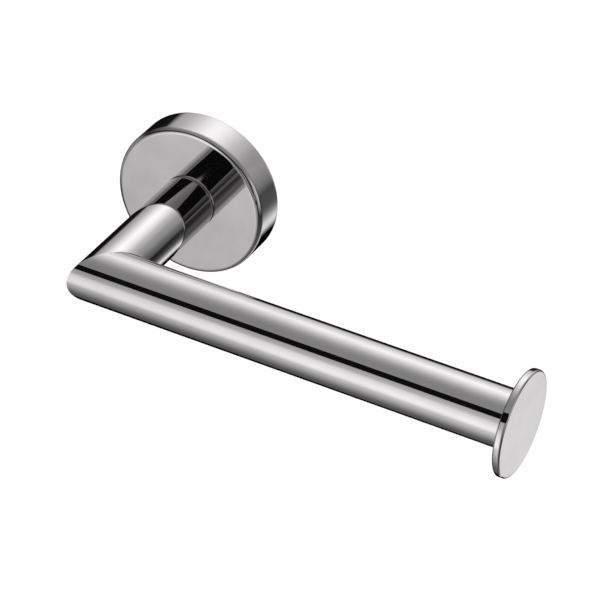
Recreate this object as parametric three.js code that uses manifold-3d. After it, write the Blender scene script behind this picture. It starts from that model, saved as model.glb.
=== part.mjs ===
// Single-post toilet paper holder: a round flange on the wall, a straight post out of it, an arm
// joined to the post by a 45 degree mitre, and a round stop disc on the arm's free end.
// Millimetres, +Z up. The wall is the plane y = 0 and the room is on its -Y side. The post runs
// out along -Y through the origin's axis, and the arm runs along +X.
import * as THREE from "three";
import { mergeVertices } from "three/addons/utils/BufferGeometryUtils.js";
import Module from "manifold-3d";

// ---- driving dimensions -------------------------------------------------------------------

// Overall layout
const ARM_REACH = 152; // post axis to the outer face of the stop disc
const ARM_STANDOFF = 68; // wall to the arm's axis

// Flange cover, a drawn stainless cup
const FLANGE_DIAMETER = 56.5;
const FLANGE_DEPTH = 13; // rim to front face
const FLANGE_SHEET = 1.2;
const FLANGE_EDGE_RADIUS = 2; // outside, between the front face and the side

// Post and arm, cut from one size of tube
const TUBE_DIAMETER = 20;
const TUBE_WALL = 1;
const TUBE_END_CHAMFER = 0.4;

// Stop disc on the arm's free end
const DISC_DIAMETER = 36.4;
const DISC_THICKNESS = 2.7;
const DISC_EDGE_CHAMFER = 0.4;
const STUD_SEAT_DEPTH = 1.4; // blind hole in the disc's back

// Plugs pressed into the tubes
const POST_PLUG_LENGTH = 16;
const ARM_PLUG_LENGTH = 12;

// Base casting that is screwed to the wall
const BASE_HEIGHT = 8;
const BASE_BORE_DIAMETER = 15; // room for the post screw's head
const BASE_BACK = 1; // closed back behind the bore
const BASE_EDGE_CHAMFER = 1;
const WALL_HOLE_DIAMETER = 4.6;
const WALL_HOLE_SINK_DIAMETER = 9;

// Hub casting behind the cover's face, a cup that slides over the base
const HUB_PLATE = 3;
const HUB_RING = 6.6; // ring round the base, which holds the set screw's thread
const HUB_RIM_INSET = 1.2; // hub's open end to the cover's rim

// Post screw (M6 x 20 hexagon head), its washers, and the end stud (M6 x 12)
const M6_DIAMETER = 6;
const POST_SCREW_LENGTH = 20;
const POST_SCREW_HEAD_HEIGHT = 4;
const POST_SCREW_HEAD_FLATS = 10;
const POST_SCREW_TAIL_ROOM = 1.4; // blind end of the thread past the screw's tip
const WASHER_DIAMETER = 12;
const WASHER_THICKNESS = 1;
const LOCK_WASHER_DIAMETER = 11;
const LOCK_WASHER_THICKNESS = 1.5;
const LOCK_WASHER_SLIT = 1;
const LOCK_WASHER_SLANT = 20; // degrees, the slit to the axis
const STUD_LENGTH = 12;
const THREAD_CHAMFER = 0.6;

// Locating pin that stops the post from turning on the flange
const PIN_DIAMETER = 3;
const PIN_LENGTH = 8;
const PIN_DEPTH_IN_HUB = 2;

// Set screw (M4 x 6 cone point), from below
const SET_SCREW_DIAMETER = 4;
const SET_SCREW_LENGTH = 6;
const SET_SCREW_TIP_FLAT = 0.8;
const SET_SCREW_SOCKET_FLATS = 2;
const SET_SCREW_SOCKET_DEPTH = 2.5;
const SET_SCREW_END_CHAMFER = 0.3;

// Clearances
const TOUCH = 0.3; // between pieces that meet or are pressed together
const BASE_FIT = 0.4; // hub sliding over the base, on the radius
const RIM_TO_WALL = 0.3; // cover's rim to the wall
const COVER_HOLE_FIT = 0.5; // cover's hole over the set screw, on the radius
const DIMPLE_FIT = 0.1; // base's dimple over the set screw, on the radius

// Facets and cutters
const FINE = 72; // segments round the visible pieces
const COARSE = 32; // segments round the fasteners
const EDGE_STEPS = 8; // segments across the flange's rounded edge
const PAST = 1; // how far a cutter runs past the face that it cuts
const SAME_POINT = 1e-4; // vertices nearer than this are one

// ---- places worked out from the sizes above -----------------------------------------------

const tubeRadius = TUBE_DIAMETER / 2;
const tubeBore = tubeRadius - TUBE_WALL;
const flangeRadius = FLANGE_DIAMETER / 2;
const coverBore = flangeRadius - FLANGE_SHEET;
const coverRimY = -RIM_TO_WALL;
const coverFaceY = coverRimY - FLANGE_DEPTH;
const hubFrontY = coverFaceY + FLANGE_SHEET + TOUCH;
const hubBackY = hubFrontY + HUB_PLATE;
const hubRimY = coverRimY - HUB_RIM_INSET;
const hubRadius = coverBore - TOUCH;
const hubBore = hubRadius - HUB_RING;
const baseRadius = hubBore - BASE_FIT;
const postEndY = coverFaceY - TOUCH;
const mitreY = -ARM_STANDOFF;
const discBackX = ARM_REACH - DISC_THICKNESS;
const armEndX = discBackX - TOUCH;
const plugRadius = tubeBore - TOUCH;
const m6Radius = M6_DIAMETER / 2;
const m6HoleRadius = m6Radius + TOUCH;
const pinHoleRadius = PIN_DIAMETER / 2 + TOUCH;
const pinOffset = (m6HoleRadius + plugRadius) / 2; // above the post's axis
const washerY = hubBackY + TOUCH;
const lockWasherY = washerY + WASHER_THICKNESS + TOUCH;
const screwHeadY = lockWasherY + LOCK_WASHER_THICKNESS + TOUCH;
const screwTipY = screwHeadY - POST_SCREW_LENGTH;
const pinBackY = hubFrontY + PIN_DEPTH_IN_HUB;
const setScrewRadius = SET_SCREW_DIAMETER / 2;
const setScrewTipZ = -(baseRadius + TOUCH);
const setScrewY = (hubRimY - BASE_HEIGHT + BASE_EDGE_CHAMFER) / 2;

// ---- solids ---------------------------------------------------------------------------------

const wasm = await Module();
wasm.setup();

// A three.js geometry as a manifold-3d solid.
function solid(geometry) {
  const bare = geometry.index ? geometry.toNonIndexed() : geometry.clone();
  bare.deleteAttribute("normal");
  bare.deleteAttribute("uv");
  const merged = mergeVertices(bare, SAME_POINT);
  return new wasm.Manifold(
    new wasm.Mesh({
      numProp: 3,
      vertProperties: merged.attributes.position.array,
      triVerts: new Uint32Array(merged.index.array),
    }),
  );
}

// A manifold-3d solid as a three.js geometry.
function geometryOf(body) {
  const mesh = body.getMesh();
  const geometry = new THREE.BufferGeometry();
  geometry.setAttribute("position", new THREE.BufferAttribute(mesh.vertProperties, 3));
  geometry.setIndex(new THREE.BufferAttribute(mesh.triVerts, 1));
  const flat = geometry.toNonIndexed();
  flat.computeVertexNormals();
  return flat;
}

// A body of revolution about the Y axis. The outline is a list of [radius, y] that climbs in +Y
// on its outer side, and either starts and ends on the axis or is closed on itself.
function turned(outline, segments) {
  const points = outline.map(([radius, y]) => new THREE.Vector2(radius, y));
  if (outline[0][0] > 0) points.push(points[0].clone());
  return solid(new THREE.LatheGeometry(points, segments));
}

// A solid rod about the Y axis between two heights, with both end edges chamfered.
function rod(radius, lowY, highY, chamfer, segments) {
  return turned(
    [
      [0, lowY],
      [radius - chamfer, lowY],
      [radius, lowY + chamfer],
      [radius, highY - chamfer],
      [radius - chamfer, highY],
      [0, highY],
    ],
    segments,
  );
}

// A plain cutting rod about the Y axis.
function drill(radius, lowY, highY) {
  const length = highY - lowY;
  const geometry = new THREE.CylinderGeometry(radius, radius, length, COARSE);
  return solid(geometry.translate(0, lowY + length / 2, 0));
}

// A hexagonal bar about the Y axis, given across its flats.
function hexagonBar(acrossFlats, lowY, highY) {
  const length = highY - lowY;
  const cornerRadius = acrossFlats / Math.sqrt(3);
  const geometry = new THREE.CylinderGeometry(cornerRadius, cornerRadius, length, 6);
  return solid(geometry.translate(0, lowY + length / 2, 0));
}

// Points of a quarter circle about a centre, from one angle to another, in degrees.
function arc(centreR, centreY, radius, fromDegrees, toDegrees, steps) {
  return Array.from({ length: steps + 1 }, (_, i) => {
    const angle = THREE.MathUtils.degToRad(
      fromDegrees + ((toDegrees - fromDegrees) * i) / steps,
    );
    return [centreR + radius * Math.cos(angle), centreY + radius * Math.sin(angle)];
  });
}

// Everything on one side of the mitre plane, which holds the Z direction and stands at 45
// degrees to the post and to the arm. The kept side is +1 for the arm and -1 for the post.
function mitreKnife(keptSide) {
  const size = 4 * (ARM_REACH + ARM_STANDOFF);
  const box = new THREE.BoxGeometry(size, size, size);
  box.translate(-keptSide * (size / 2 - TOUCH / 2), 0, 0);
  box.rotateZ(-Math.PI / 4);
  return solid(box.translate(0, mitreY, 0));
}

// ---- pieces of the flange --------------------------------------------------------------------

function flangeCover() {
  const edge = Math.min(FLANGE_EDGE_RADIUS, FLANGE_DEPTH / 2);
  const innerEdge = Math.max(edge - FLANGE_SHEET, FLANGE_SHEET / 4);
  const innerFaceY = coverFaceY + FLANGE_SHEET;
  const cup = turned(
    [
      [m6HoleRadius, coverFaceY],
      ...arc(flangeRadius - edge, coverFaceY + edge, edge, -90, 0, EDGE_STEPS),
      [flangeRadius, coverRimY],
      [coverBore, coverRimY],
      ...arc(coverBore - innerEdge, innerFaceY + innerEdge, innerEdge, 0, -90, EDGE_STEPS / 2),
      [m6HoleRadius, innerFaceY],
    ],
    FINE,
  );
  const pinHole = drill(pinHoleRadius, coverFaceY - PAST, innerFaceY + PAST);
  return cup
    .subtract(pinHole.translate(0, 0, pinOffset))
    .subtract(setScrewHole(setScrewRadius + COVER_HOLE_FIT));
}

// A hole for the set screw, from outside the flange up to the base's side.
function setScrewHole(radius) {
  return drill(radius, -flangeRadius - PAST, -baseRadius)
    .rotate([90, 0, 0])
    .translate(0, setScrewY, 0);
}

function flangeHub() {
  const chamfer = Math.max(FLANGE_EDGE_RADIUS - FLANGE_SHEET + TOUCH, TOUCH);
  const cup = turned(
    [
      [m6HoleRadius, hubFrontY],
      [hubRadius - chamfer, hubFrontY],
      [hubRadius, hubFrontY + chamfer],
      [hubRadius, hubRimY],
      [hubBore, hubRimY],
      [hubBore, hubBackY],
      [m6HoleRadius, hubBackY],
    ],
    FINE,
  );
  const pinHole = drill(pinHoleRadius, hubFrontY - PAST, pinBackY + TOUCH);
  return cup
    .subtract(pinHole.translate(0, 0, pinOffset))
    .subtract(setScrewHole(setScrewRadius + TOUCH));
}

function wallBase() {
  const boreRadius = BASE_BORE_DIAMETER / 2;
  const casting = turned(
    [
      [0, -BASE_BACK],
      [boreRadius, -BASE_BACK],
      [boreRadius, -BASE_HEIGHT],
      [baseRadius - BASE_EDGE_CHAMFER, -BASE_HEIGHT],
      [baseRadius, -BASE_HEIGHT + BASE_EDGE_CHAMFER],
      [baseRadius, 0],
      [0, 0],
    ],
    FINE,
  );
  const holeRadius = WALL_HOLE_DIAMETER / 2;
  const sinkRadius = WALL_HOLE_SINK_DIAMETER / 2;
  const sinkDepth = sinkRadius - holeRadius;
  const countersunkHole = turned(
    [
      [0, -BASE_HEIGHT - PAST],
      [sinkRadius, -BASE_HEIGHT - PAST],
      [sinkRadius, -BASE_HEIGHT],
      [holeRadius, -BASE_HEIGHT + sinkDepth],
      [holeRadius, PAST],
      [0, PAST],
    ],
    COARSE,
  );
  const holeOffset = (boreRadius + baseRadius) / 2;
  const dimpleRadius = setScrewRadius + DIMPLE_FIT;
  const dimple = turned(
    [
      [0, -PAST],
      [dimpleRadius + PAST, -PAST],
      [0, dimpleRadius],
    ],
    COARSE,
  );
  return casting
    .subtract(countersunkHole.translate(holeOffset, 0, 0))
    .subtract(countersunkHole.translate(-holeOffset, 0, 0))
    .subtract(dimple.rotate([90, 0, 0]).translate(0, setScrewY, -baseRadius));
}

function setScrew() {
  const tipFlat = SET_SCREW_TIP_FLAT / 2;
  const coneHeight = setScrewRadius - tipFlat;
  const body = turned(
    [
      [0, -SET_SCREW_LENGTH],
      [setScrewRadius - SET_SCREW_END_CHAMFER, -SET_SCREW_LENGTH],
      [setScrewRadius, -SET_SCREW_LENGTH + SET_SCREW_END_CHAMFER],
      [setScrewRadius, -coneHeight],
      [tipFlat, 0],
      [0, 0],
    ],
    COARSE,
  );
  const socketTop = -SET_SCREW_LENGTH + SET_SCREW_SOCKET_DEPTH;
  return body
    .subtract(hexagonBar(SET_SCREW_SOCKET_FLATS, -SET_SCREW_LENGTH - PAST, socketTop))
    .rotate([90, 0, 0])
    .translate(0, setScrewY, setScrewTipZ);
}

// ---- pieces that hold the post to the flange ---------------------------------------------------

function postScrew() {
  const headTopY = screwHeadY + POST_SCREW_HEAD_HEIGHT;
  const shank = rod(m6Radius, screwTipY, screwHeadY + PAST, THREAD_CHAMFER, COARSE);
  return shank.add(hexagonBar(POST_SCREW_HEAD_FLATS, screwHeadY, headTopY));
}

function washerRing(diameter, lowY, thickness) {
  return turned(
    [
      [m6HoleRadius, lowY],
      [diameter / 2, lowY],
      [diameter / 2, lowY + thickness],
      [m6HoleRadius, lowY + thickness],
    ],
    COARSE,
  );
}

function lockWasher() {
  const ring = washerRing(LOCK_WASHER_DIAMETER, lockWasherY, LOCK_WASHER_THICKNESS);
  const height = 4 * LOCK_WASHER_THICKNESS;
  const slit = new THREE.BoxGeometry(LOCK_WASHER_SLIT, height, LOCK_WASHER_DIAMETER);
  slit.rotateZ(THREE.MathUtils.degToRad(LOCK_WASHER_SLANT));
  slit.translate(0, lockWasherY + LOCK_WASHER_THICKNESS / 2, LOCK_WASHER_DIAMETER / 2);
  return ring.subtract(solid(slit));
}

function locatingPin() {
  const pin = rod(PIN_DIAMETER / 2, pinBackY - PIN_LENGTH, pinBackY, THREAD_CHAMFER / 2, COARSE);
  return pin.translate(0, 0, pinOffset);
}

function postPlug() {
  const frontY = postEndY - POST_PLUG_LENGTH;
  const threadEndY = screwTipY - POST_SCREW_TAIL_ROOM;
  const pinEndY = pinBackY - PIN_LENGTH - TOUCH;
  return rod(plugRadius, frontY, postEndY, THREAD_CHAMFER, FINE)
    .subtract(drill(m6HoleRadius, threadEndY, postEndY + PAST))
    .subtract(drill(pinHoleRadius, pinEndY, postEndY + PAST).translate(0, 0, pinOffset));
}

// ---- post and arm --------------------------------------------------------------------------------

// A tube about the Y axis whose end at highY is chamfered outside.
function tube(lowY, highY) {
  return turned(
    [
      [tubeBore, lowY],
      [tubeRadius, lowY],
      [tubeRadius, highY - TUBE_END_CHAMFER],
      [tubeRadius - TUBE_END_CHAMFER, highY],
      [tubeBore, highY],
    ],
    FINE,
  );
}

function postTube() {
  const beyondMitreY = mitreY - TUBE_DIAMETER;
  return tube(beyondMitreY, postEndY).subtract(mitreKnife(-1));
}

// Turns a body made about the Y axis so that its +Y end points along the arm's +X.
function alongArm(body) {
  return body.rotate([0, 0, -90]).translate(0, mitreY, 0);
}

function armTube() {
  return alongArm(tube(-TUBE_DIAMETER, armEndX)).subtract(mitreKnife(1));
}

function armPlug() {
  const innerX = armEndX - ARM_PLUG_LENGTH;
  const plug = rod(plugRadius, innerX, armEndX, THREAD_CHAMFER, FINE);
  return alongArm(plug.subtract(drill(m6HoleRadius, innerX - PAST, armEndX + PAST)));
}

function discStud() {
  const seatX = discBackX + STUD_SEAT_DEPTH - TOUCH;
  return alongArm(rod(m6Radius, seatX - STUD_LENGTH, seatX, THREAD_CHAMFER, COARSE));
}

function stopDisc() {
  const disc = rod(DISC_DIAMETER / 2, discBackX, ARM_REACH, DISC_EDGE_CHAMFER, FINE);
  const seat = drill(m6HoleRadius, discBackX - PAST, discBackX + STUD_SEAT_DEPTH);
  return alongArm(disc.subtract(seat));
}

// ---- materials -------------------------------------------------------------------------------------

function metal(color, roughness) {
  return new THREE.MeshStandardMaterial({ color, roughness, metalness: 1 });
}

const mirrorSteel = metal(0xdcdcde, 0.05);
const zincCasting = metal(0xa7a9ab, 0.5);
const platedSteel = metal(0xb9bcc0, 0.3);
const blackSteel = metal(0x2b2b2d, 0.45);

// ---- assembly ----------------------------------------------------------------------------------------

function piece(name, body, material) {
  const mesh = new THREE.Mesh(geometryOf(body), material);
  mesh.name = name;
  return mesh;
}

const holder = new THREE.Group();
holder.add(
  piece("flange_cover", flangeCover(), mirrorSteel),
  piece("flange_hub", flangeHub(), zincCasting),
  piece("post_tube", postTube(), mirrorSteel),
  piece("post_plug", postPlug(), platedSteel),
  piece("post_screw", postScrew(), platedSteel),
  piece("post_washer", washerRing(WASHER_DIAMETER, washerY, WASHER_THICKNESS), platedSteel),
  piece("post_lock_washer", lockWasher(), platedSteel),
  piece("locating_pin", locatingPin(), platedSteel),
  piece("arm_tube", armTube(), mirrorSteel),
  piece("arm_plug", armPlug(), platedSteel),
  piece("disc_stud", discStud(), platedSteel),
  piece("stop_disc", stopDisc(), mirrorSteel),
);

const part = new THREE.Group();
part.add(
  piece("wall_base", wallBase(), zincCasting),
  holder,
  piece("set_screw", setScrew(), blackSteel),
);

export default part;
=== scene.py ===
"""Mirror-polished toilet paper holder: a wall flange, a post, a mitred arm and a stop disc.

Laid out as a Blender add-on and run as a script. Everything is in metres in the frame of the
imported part: the wall is the plane y = 0 with the room on its -Y side, the post runs along -Y
through the origin, and the arm runs along +X.
"""
import math

import bmesh
import bpy
import numpy as np
from bpy.props import FloatProperty, FloatVectorProperty, IntProperty, PointerProperty
from mathutils import Matrix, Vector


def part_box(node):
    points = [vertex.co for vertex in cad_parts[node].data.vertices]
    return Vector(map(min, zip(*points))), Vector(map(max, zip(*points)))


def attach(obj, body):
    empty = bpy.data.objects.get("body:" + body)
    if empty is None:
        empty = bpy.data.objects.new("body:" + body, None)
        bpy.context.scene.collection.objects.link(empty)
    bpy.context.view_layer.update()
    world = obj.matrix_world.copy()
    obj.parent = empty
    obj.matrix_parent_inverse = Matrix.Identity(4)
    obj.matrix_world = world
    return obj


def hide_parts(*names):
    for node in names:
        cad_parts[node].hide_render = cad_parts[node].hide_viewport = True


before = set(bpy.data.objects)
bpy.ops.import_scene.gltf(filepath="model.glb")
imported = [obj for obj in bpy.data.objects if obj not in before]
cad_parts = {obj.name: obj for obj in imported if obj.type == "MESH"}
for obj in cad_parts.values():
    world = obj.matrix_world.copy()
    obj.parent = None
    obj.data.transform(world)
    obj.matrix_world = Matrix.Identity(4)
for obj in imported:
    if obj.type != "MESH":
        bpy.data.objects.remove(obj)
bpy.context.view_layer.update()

bl_info = {
    "name": "Toilet paper holder",
    "version": (1, 0, 0),
    "blender": (4, 5, 0),
    "location": "3D View > Sidebar > Holder",
    "description": "Builds a wall-mounted, open-arm toilet paper holder and its studio",
    "category": "Add Mesh",
}

MM = 0.001
X, Y, Z = np.eye(3)


# ---- sizes and places that the frame gives -------------------------------------------------


def node_box(name):
    """Lowest and highest corner of a CAD node as two arrays."""
    low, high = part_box(name)
    return np.array(low), np.array(high)


COVER_LOW, COVER_HIGH = node_box("flange_cover")
HUB_LOW, HUB_HIGH = node_box("flange_hub")
BASE_LOW, BASE_HIGH = node_box("wall_base")
ARM_LOW, ARM_HIGH = node_box("arm_tube")
DISC_LOW, DISC_HIGH = node_box("stop_disc")
SCREW_LOW, SCREW_HIGH = node_box("post_screw")
SET_LOW, SET_HIGH = node_box("set_screw")
PIN_LOW, PIN_HIGH = node_box("locating_pin")

COVER_RADIUS = COVER_HIGH[0]
COVER_FACE = COVER_LOW[1]
COVER_RIM = COVER_HIGH[1]
TUBE_RADIUS = node_box("post_tube")[1][0]
ARM_AXIS = np.array([0.0, (ARM_LOW[1] + ARM_HIGH[1]) / 2, 0.0])
DISC_RADIUS = DISC_HIGH[2]
SET_RADIUS = SET_HIGH[0]
SET_PLACE = (SET_LOW[1] + SET_HIGH[1]) / 2  # along the post
PIN_RADIUS = (PIN_HIGH[0] - PIN_LOW[0]) / 2
PIN_OFFSET = (PIN_LOW[2] + PIN_HIGH[2]) / 2  # above the post's axis
UP, DOWN = math.pi / 2, 3 * math.pi / 2  # angles about the post's axis

# ---- sizes of holes, threads and fits -----------------------------------------------------------

PRESS_GAP = 0.3 * MM  # between pieces that meet or are pressed together
BASE_FIT = 0.4 * MM  # hub over the base, on the radius
COVER_HOLE_FIT = 0.5 * MM  # cover's hole over the set screw, on the radius
DIMPLE_FIT = 0.1 * MM
HAIR = 0.05 * MM  # from a rounding to the row that keeps the flat beside it flat
RIM_ROUND = 0.15 * MM  # eased sheet and casting rims
SCREW_HOLE_RADIUS = 3.3 * MM  # for M6
BASE_BORE = 7.5 * MM
BASE_BACK = 1.0 * MM
SINK_RADIUS = 4.5 * MM  # countersinks of the wall screws
WALL_HOLE_RADIUS = 2.3 * MM
M6_RADIUS, M6_PITCH = 3.0 * MM, 1.0 * MM
M4_PITCH = 0.7 * MM
SOCKET_FLATS, SOCKET_DEPTH = 2.0 * MM, 2.5 * MM
THREAD_SEGMENTS = 72
FLOOR_GLOW = 0.6  # lifts the floor to white under the soft light


# ---- properties ------------------------------------------------------------------------------


def length(name, description, millimetres):
    """A length property given in millimetres and kept in metres."""
    return FloatProperty(
        name=name, description=description, default=millimetres * MM, min=0.0, unit="LENGTH", precision=5
    )


def colour(name, description, grey_or_rgb):
    """A colour property."""
    return FloatVectorProperty(
        name=name, description=description, default=grey_or_rgb, size=3, min=0.0, max=1.0, subtype="COLOR"
    )


def share(name, description, default):
    """A number from nought to one."""
    return FloatProperty(name=name, description=description, default=default, min=0.0, max=1.0)


def angle(name, description, degrees):
    """An angle property given in degrees and kept in radians."""
    return FloatProperty(
        name=name,
        description=description,
        default=math.radians(degrees),
        subtype="ANGLE",
        unit="ROTATION",
    )


class HolderShape(bpy.types.PropertyGroup):
    """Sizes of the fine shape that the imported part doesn't hold."""

    cover_edge: length("Cover edge", "Radius between the flange's face and its side", 2.0)
    cover_sheet: length("Cover sheet", "Thickness of the drawn cover", 1.2)
    tube_wall: length("Tube wall", "Wall of the post and the arm", 1.0)
    tube_edge: length("Tube edge", "Rounding of the tube ends", 0.9)
    disc_edge: length("Disc edge", "Rounding of the stop disc's edges", 0.7)
    casting_edge: length("Casting edge", "Rounding of the cast edges", 0.6)
    weld_width: length("Weld width", "Leg of the polished weld inside the corner", 1.5)
    around: IntProperty(name="Segments", description="Segments round a polished piece", default=240, min=24)


class HolderFinish(bpy.types.PropertyGroup):
    """Colours and polish of the metals."""

    steel: colour("Steel", "Polished stainless steel", (0.625, 0.608, 0.618))
    steel_roughness: share("Steel roughness", "Roughness of the mirror polish", 0.03)
    casting: colour("Casting", "Die-cast zinc", (0.42, 0.43, 0.44))
    casting_roughness: share("Casting roughness", "Roughness of the casting", 0.46)
    plating: colour("Plating", "Zinc-plated fasteners", (0.60, 0.62, 0.65))
    plating_roughness: share("Plating roughness", "Roughness of the plating", 0.27)
    black: colour("Black steel", "Blackened set screw", (0.035, 0.035, 0.038))
    black_roughness: share("Black roughness", "Roughness of the blackened steel", 0.4)


class HolderStudio(bpy.types.PropertyGroup):
    """The camera, the ground and the black flag."""

    place: FloatVectorProperty(
        name="Camera place",
        description="Where the camera stands",
        default=(0.41331, -0.79456, 0.57369),
        subtype="TRANSLATION",
        unit="LENGTH",
    )
    turn: angle("Turn", "Camera's direction round the holder, from straight in front", 25.217)
    tilt: angle("Tilt", "Camera's angle above the level", 34.699)
    roll: angle("Roll", "Camera's lean about its own axis", 4.171)
    lens: FloatProperty(
        name="Lens", description="Focal length in millimetres", default=182.35, min=1.0, unit="CAMERA"
    )
    floor_drop: length("Floor drop", "Holder's axis down to the floor", 320.0)
    floor_size: length("Floor size", "Side of the square floor", 12000.0)
    flag_distance: length("Flag distance", "Wall to the black flag", 288.0)
    flag_low: length("Flag's lower edge", "Above the holder's axis", 121.0)
    flag_high: length("Flag's upper edge", "Above the holder's axis", 251.0)
    flag_length: length("Flag length", "Across the holder", 1800.0)


# ---- meshes from arrays ------------------------------------------------------------------------


def grid_faces(rows, columns, close_rows=False):
    """Quads between neighbours on a grid numbered row by row, closed round its columns."""
    index = np.arange(rows * columns).reshape(rows, columns)
    if close_rows:
        index = np.vstack([index, index[:1]])
    index = np.hstack([index, index[:, :1]])
    corners = (index[:-1, :-1], index[:-1, 1:], index[1:, 1:], index[1:, :-1])
    return np.stack([c.ravel() for c in corners], axis=1)


class Outline:
    """Half of a turned piece's section, as points of [radius, along], with named stretches."""

    def __init__(self, radius, along):
        self.points = [(radius, along)]
        self.stretches = {}

    def line(self, radius, along, steps=1, name=None):
        """A straight stretch to a point."""
        start = np.array(self.points[-1])
        stop = np.array([radius, along])
        first = len(self.points) - 1
        for k in range(1, steps + 1):
            self.points.append(tuple(start + (stop - start) * k / steps))
        if name:
            self.stretches[name] = (first, first + steps)
        return self

    def arc(self, radius, along, size, start, stop, steps=8):
        """A stretch of a circle about [radius, along], between two angles in degrees."""
        for angle in np.radians(np.linspace(start, stop, steps + 1)):
            point = (radius + size * math.cos(angle), along + size * math.sin(angle))
            if np.hypot(*np.subtract(point, self.points[-1])) > 1e-9:
                self.points.append(point)
        return self

    def array(self):
        """The points as an array."""
        return np.array(self.points)


def place(radius, angle, along, origin, across, up, axis):
    """Cylinder coordinates: origin + radius (cos angle across + sin angle up) + along axis."""
    radius, angle, along = (v[..., None] for v in np.broadcast_arrays(radius, angle, along))
    return origin + radius * (np.cos(angle) * across + np.sin(angle) * up) + along * axis


def round_post(radius, angle, along):
    """Cylinder coordinates about the post's axis, counted along +Y from the wall."""
    return place(radius, angle, along, np.zeros(3), X, Z, Y)


def round_arm(radius, angle, along):
    """Cylinder coordinates about the arm's axis, counted along +X from the post's axis."""
    return place(radius, angle, along, ARM_AXIS, Y, Z, X)


def ring_of_angles(count):
    """Even angles round a whole turn, without the last one, which is the first."""
    return np.linspace(0, 2 * math.pi, count, endpoint=False)


def turned(outline, count, coordinates):
    """A body of revolution: the outline swept round the axis, closed at its poles or on itself."""
    points = outline.array()
    grid = coordinates(points[:, :1], ring_of_angles(count), points[:, 1:])
    return grid.reshape(-1, 3), grid_faces(len(points), count, close_rows=points[0, 0] > 0)


def carried(sections):
    """A closed section carried along a path, each end closed to its own middle."""
    ends = [sections[k].mean(axis=0) + 0 * sections[k] for k in (0, -1)]
    grid = np.concatenate([ends[0][None], sections, ends[1][None]])
    return grid.reshape(-1, 3), grid_faces(*grid.shape[:2])


class PiercedShell:
    """A body of revolution with round holes.

    The outline is swept round the axis on a grid of angle and row. A hole takes a window of cells
    away and puts rings in their place: ring t of the way in lies at (1 - t) of the window's edge
    plus t of the hole's edge, in angle and row, so that every ring is on the swept surface. A wall
    of rings joins two such holes, or runs down to the bottom of a blind one.
    """

    def __init__(self, outline, count, coordinates):
        self.outline = outline
        self.points = outline.array()
        self.coordinates = coordinates
        self.segments = count
        closed = self.points[0, 0] > 0
        cell_rows = len(self.points) if closed else len(self.points) - 1
        self.cells = grid_faces(len(self.points), count, closed).reshape(cell_rows, count, 4)
        self.keep = np.ones((cell_rows, count), bool)
        grid = coordinates(self.points[:, :1], ring_of_angles(count), self.points[:, 1:])
        self.vertices = [grid.reshape(-1, 3)]
        self.total = grid.size // 3
        self.strips = []

    def at(self, angle, row):
        """The surface's points at angles and rows, straight between neighbouring rows."""
        rows = np.arange(len(self.points))
        radius = np.interp(row, rows, self.points[:, 0])
        return self.coordinates(radius, angle, np.interp(row, rows, self.points[:, 1]))

    def join(self, ring, points):
        """Adds a ring of points and the quads that join it to another ring."""
        fresh = np.arange(self.total, self.total + len(points))
        self.vertices.append(points)
        self.total += len(points)
        self.bridge(ring, fresh)
        return fresh

    def bridge(self, ring, other):
        """Quads between two rings that have as many vertices."""
        self.strips.append(np.stack([ring, np.roll(ring, -1), np.roll(other, -1), other], axis=1))

    def hole(self, stretch, middle, half_columns, edge, rings=5):
        """Cuts a hole in a named stretch about an angle, and gives its ring of vertices.

        edge(turn) gives the angle and the distance, along or from the axis, of the hole's edge.
        """
        first, last = self.outline.stretches[stretch]
        step = 2 * math.pi / self.segments
        centre = round(middle / step)
        window = np.arange(centre - half_columns, centre + half_columns) % self.segments
        self.keep[first:last, window] = False
        # The distance that a row stands for: its place along on a side, or its radius on a face.
        rows = self.points[first : last + 1]
        distance = rows[:, 1] if abs(rows[-1, 1] - rows[0, 1]) > 1e-9 else rows[:, 0]
        numbers = np.arange(first, last + 1)
        if distance[0] > distance[-1]:
            distance, numbers = distance[::-1], numbers[::-1]
        columns = np.arange(-half_columns, half_columns + 1)
        low, high = np.full(len(columns) - 1, numbers[0]), np.full(len(columns) - 1, numbers[-1])
        left = np.full(len(numbers) - 1, -half_columns)
        edge_row = np.concatenate([low, numbers[:-1], high, numbers[:0:-1]])
        edge_column = np.concatenate([columns[:-1], -left, columns[:0:-1], left])
        middle_row = (numbers[0] + numbers[-1]) / 2
        turn = np.arctan2((edge_row - middle_row) / (numbers[-1] - middle_row), edge_column / half_columns)
        hole_angle, hole_distance = edge(turn)
        hole_row = np.interp(hole_distance, distance, numbers)
        ring = edge_row * self.segments + (edge_column + centre) % self.segments
        edge_angle = (edge_column + centre) * step
        for t in np.arange(1, rings + 1) / rings:
            angle = (1 - t) * edge_angle + t * hole_angle
            ring = self.join(ring, self.at(angle, (1 - t) * edge_row + t * hole_row))
        return ring, turn

    def mesh(self):
        """All the vertices and faces."""
        return np.vstack(self.vertices), np.vstack([self.cells[self.keep], *self.strips])


def side_hole(radius, along, angle, shell_radius):
    """Edge of a straight hole bored towards the axis through a round side."""

    def edge(turn):
        across = np.arcsin(radius * np.cos(turn) / shell_radius)
        return angle + across, along + radius * np.sin(turn)

    return edge


def face_hole(radius, offset, angle):
    """Edge of a hole bored along the axis through a flat face, its centre off the axis."""

    def edge(turn):
        outwards = offset + radius * np.sin(turn)
        sideways = radius * np.cos(turn)
        return angle + np.arctan2(sideways, outwards), np.hypot(outwards, sideways)

    return edge


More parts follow.
